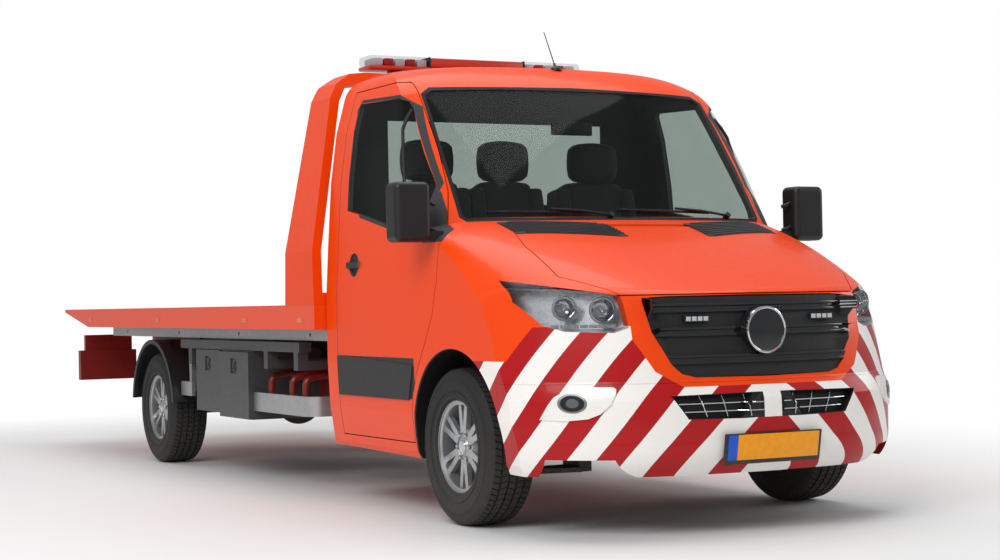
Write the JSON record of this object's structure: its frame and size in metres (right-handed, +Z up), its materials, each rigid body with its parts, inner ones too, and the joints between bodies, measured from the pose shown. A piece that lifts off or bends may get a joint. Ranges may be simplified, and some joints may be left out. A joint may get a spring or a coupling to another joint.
{
  "type": "tow truck",
  "caption": "Cab truck with a sliding, tilting car deck, headboard, warning light bar, toolboxes and steered front wheels.",
  "frame": {"origin": "on the ground, below the middle of the truck's length and width", "axes": "+X forward, +Y to the truck's left, +Z up"},
  "size_m": [7.258, 2.35, 2.2979],
  "materials": {
    "body_paint": "vivid orange gloss paint",
    "deck_paint": "vivid orange gloss paint, deck face bright metal",
    "striped_paint": "white with dark red diagonal bands",
    "black_plastic": "black moulded plastic",
    "lamp": "clear lamp cover over a bright reflector",
    "glass": "lightly tinted clear glass",
    "trim": "dark grey grained trim",
    "cloth": "dark woven seat cloth",
    "frame_black": "black chassis paint",
    "cast": "dark cast iron",
    "alloy": "silver painted alloy",
    "rail_alloy": "plain extruded alloy",
    "tyre": "black tyre rubber",
    "box_grey": "dark grey box paint",
    "red_paint": "red brown paint",
    "steel_rod": "hard chromed rod",
    "rope": "wound wire rope",
    "light_bar": "clear and red lamp covers"
  },
  "bodies": {
    "chassis": {"ladder_frame": "frame_black", "front_axle_beam": "frame_black", "rear_axle": "cast", "upper_arms": "cast", "engine_block": "cast", "cab_shell": "body_paint", "front_bumper": "striped_paint", "grille": "black_plastic", "headlamps": "lamp", "windscreen": "glass", "rear_window": "glass", "dashboard": "trim", "driver_seat": "cloth", "passenger_bench": "cloth", "steering_wheel": "black_plastic", "rear_mudguards": "black_plastic", "toolboxes": "box_grey", "left_gear": "frame_black", "side_guards": "rail_alloy", "guard_hoops": "red_paint"},
    "steer_left": {"knuckle_left": "cast"},
    "steer_right": {"knuckle_right": "cast"},
    "wheel_front_left": {"tyre_front_left": "tyre", "rim_front_left": "alloy"},
    "wheel_front_right": {"tyre_front_right": "tyre", "rim_front_right": "alloy"},
    "wheel_rear_left": {"tyre_rear_left": "tyre", "rim_rear_left": "alloy"},
    "wheel_rear_right": {"tyre_rear_right": "tyre", "rim_rear_right": "alloy"},
    "left_door": {"door_left": "body_paint", "glass_left": "glass", "mirror_left": "black_plastic"},
    "right_door": {"door_right": "body_paint", "glass_right": "glass", "mirror_right": "black_plastic"},
    "hood": {"bonnet": "body_paint"},
    "lid_front": {"toolbox_lid_front": "box_grey"},
    "lid_rear": {"toolbox_lid_rear": "box_grey"},
    "tilt_bed": {"slide_frame": "frame_black", "rear_board": "red_paint"},
    "load_deck": {"deck": "deck_paint", "under_rails": "rail_alloy", "headboard": "body_paint", "light_bar": "light_bar", "winch": "frame_black"},
    "drum": {"winch_drum": "rope"},
    "barrels": {"tilt_barrels": "frame_black"},
    "rods": {"tilt_rods": "steel_rod"}
  },
  "joints": [
    {"name": "steering_left", "type": "hinge", "parent": "chassis", "child": "steer_left", "pos_m": [2.586, 0.757, 0.35], "axis": [0, 0, 1], "range_deg": [-35, 35]},
    {"name": "steering_right", "type": "hinge", "parent": "chassis", "child": "steer_right", "pos_m": [2.586, -0.757, 0.35], "axis": [0, 0, 1], "range_deg": [-35, 35]},
    {"name": "spin_front_left", "type": "hinge", "parent": "steer_left", "child": "wheel_front_left", "pos_m": [2.586, 0.857, 0.35], "axis": [0, 1, 0], "continuous": true},
    {"name": "spin_front_right", "type": "hinge", "parent": "steer_right", "child": "wheel_front_right", "pos_m": [2.586, -0.857, 0.35], "axis": [0, 1, 0], "continuous": true},
    {"name": "spin_rear_left", "type": "hinge", "parent": "chassis", "child": "wheel_rear_left", "pos_m": [-1.739, 0.857, 0.35], "axis": [0, 1, 0], "continuous": true},
    {"name": "spin_rear_right", "type": "hinge", "parent": "chassis", "child": "wheel_rear_right", "pos_m": [-1.739, -0.857, 0.35], "axis": [0, 1, 0], "continuous": true},
    {"name": "door_left_hinge", "type": "hinge", "parent": "chassis", "child": "left_door", "pos_m": [2.436, 0.985, 1.2], "axis": [0, 0, -1], "range_deg": [0, 65]},
    {"name": "door_right_hinge", "type": "hinge", "parent": "chassis", "child": "right_door", "pos_m": [2.436, -0.985, 1.2], "axis": [0, 0, 1], "range_deg": [0, 65]},
    {"name": "bonnet_hinge", "type": "hinge", "parent": "chassis", "child": "hood", "pos_m": [2.691, 0, 1.324], "axis": [0, -1, 0], "range_deg": [0, 55]},
    {"name": "lid_front_hinge", "type": "hinge", "parent": "chassis", "child": "lid_front", "pos_m": [-0.259, -0.958, 0.351], "axis": [1, 0, 0], "range_deg": [0, 90]},
    {"name": "lid_rear_hinge", "type": "hinge", "parent": "chassis", "child": "lid_rear", "pos_m": [-0.789, -0.928, 0.366], "axis": [1, 0, 0], "range_deg": [0, 90]},
    {"name": "bed_tilt", "type": "hinge", "parent": "chassis", "child": "tilt_bed", "pos_m": [-2.359, 0, 0.76], "axis": [0, -1, 0], "range_deg": [0, 13]},
    {"name": "deck_slide", "type": "slide", "parent": "tilt_bed", "child": "load_deck", "axis": [-1, 0, 0], "range_m": [0, 2.3]},
    {"name": "drum_spin", "type": "hinge", "parent": "load_deck", "child": "drum", "pos_m": [0.566, 0, 1.11], "axis": [0, 1, 0], "continuous": true},
    {"name": "barrel_swing", "type": "hinge", "parent": "chassis", "child": "barrels", "pos_m": [-0.414, 0, 0.545], "axis": [0, 1, 0], "range_deg": [0, 20.4]},
    {"name": "rod_stroke", "type": "slide", "parent": "barrels", "child": "rods", "axis": [-0.9727, 0, 0.232], "range_m": [0, 0.14]}
  ],
  "couplings": [
    {"joint": "steering_right", "follows": "steering_left", "ratio": 1},
    {"joint": "barrel_swing", "follows": "bed_tilt", "ratio": 1.566},
    {"joint": "rod_stroke", "follows": "bed_tilt", "m_per_rad": 0.6056}
  ]
}
